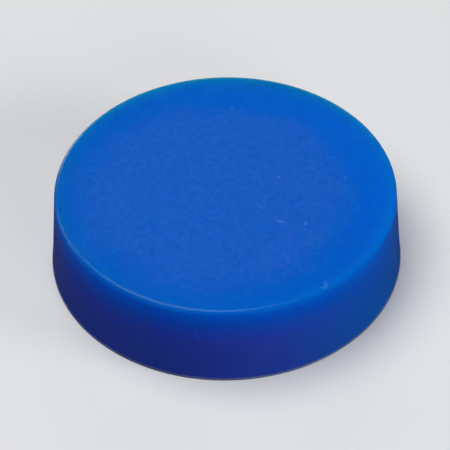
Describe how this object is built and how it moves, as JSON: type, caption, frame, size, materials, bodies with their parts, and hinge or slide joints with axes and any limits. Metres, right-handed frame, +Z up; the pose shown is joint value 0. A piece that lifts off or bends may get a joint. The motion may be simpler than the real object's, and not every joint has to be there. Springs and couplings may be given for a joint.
{
  "type": "hockey puck",
  "caption": "Smooth round disc with flat faces, a slightly flared side wall, a rounded upper rim and a fine moulding lip around the base.",
  "frame": {"origin": "centre of the base, on the surface that the puck lies on", "axes": "+Z up, through the centre of the upper face; the puck is round about Z, so +X and +Y are any two directions across it"},
  "size_m": [0.0762, 0.0762, 0.0191],
  "materials": {
    "blue_moulding": "satin"
  },
  "bodies": {
    "root": {"puck": "blue_moulding"}
  },
  "joints": []
}
